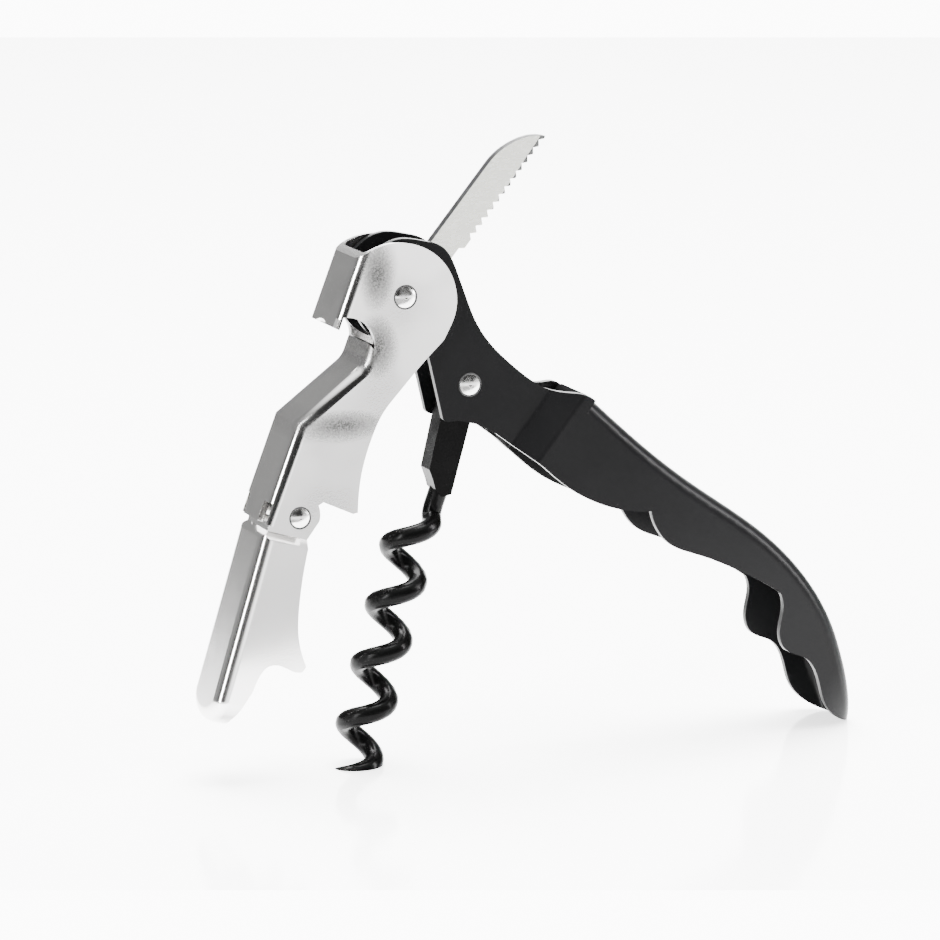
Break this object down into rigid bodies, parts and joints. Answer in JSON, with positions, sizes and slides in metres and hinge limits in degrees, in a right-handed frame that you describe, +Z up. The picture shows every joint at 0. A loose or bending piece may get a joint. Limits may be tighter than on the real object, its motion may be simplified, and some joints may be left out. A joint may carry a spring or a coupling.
{
  "type": "corkscrew",
  "caption": "Folding lever corkscrew with a channel handle, serrated foil knife, open worm and two-step hinged bottle lever with cap lifter.",
  "frame": {"origin": "on the floor, at the middle of the open tool's length and width", "axes": "+Z up; +X from the bottle levers towards the end of the handle; every pivot runs along Y, and the front faces -Y"},
  "size_m": [0.1132, 0.0146, 0.101],
  "materials": {
    "handle_coat": "satin black powder coat",
    "lever_plate": "polished nickel plate",
    "knife_steel": "ground stainless steel",
    "worm_coat": "glossy non-stick coat",
    "rivet_steel": "polished steel",
    "washer_steel": "plain steel",
    "spring_steel": "blued spring steel"
  },
  "bodies": {
    "main_rivet": {"main_rivet": "rivet_steel"},
    "handle": {"handle_shell": "handle_coat", "worm_rivet": "rivet_steel", "lever_washer_front": "washer_steel", "lever_washer_back": "washer_steel", "knife_spacer_front": "washer_steel", "knife_spacer_back": "washer_steel", "worm_spacer_front": "washer_steel", "worm_spacer_back": "washer_steel"},
    "knife": {"knife_blade": "knife_steel"},
    "worm": {"worm": "worm_coat"},
    "upper_lever": {"upper_lever": "lever_plate", "joint_rivet": "rivet_steel", "detent_spring": "spring_steel"},
    "lower_lever": {"lower_lever": "lever_plate"}
  },
  "joints": [
    {"name": "lever_raise", "type": "hinge", "parent": "main_rivet", "child": "handle", "pos_m": [-0.02378, 0, 0.07715], "axis": [0, -1, 0], "range_deg": [0, 42]},
    {"name": "lever_close", "type": "hinge", "parent": "main_rivet", "child": "upper_lever", "pos_m": [-0.02378, 0, 0.07715], "axis": [0, -1, 0], "range_deg": [0, 51]},
    {"name": "knife_fold", "type": "hinge", "parent": "handle", "child": "knife", "pos_m": [-0.02378, 0, 0.07715], "axis": [0, -1, 0], "range_deg": [-76, 34]},
    {"name": "worm_stow", "type": "hinge", "parent": "handle", "child": "worm", "pos_m": [-0.01214, 0, 0.06193], "axis": [0, -1, 0], "range_deg": [0, 72]},
    {"name": "tip_tuck", "type": "hinge", "parent": "upper_lever", "child": "lower_lever", "pos_m": [-0.04178, 0, 0.04282], "axis": [0, -1, 0], "range_deg": [0, 38.5]}
  ],
  "couplings": [
    {"joint": "worm_stow", "follows": "lever_close", "ratio": 1.4},
    {"joint": "tip_tuck", "follows": "lever_close", "ratio": 0.75}
  ]
}
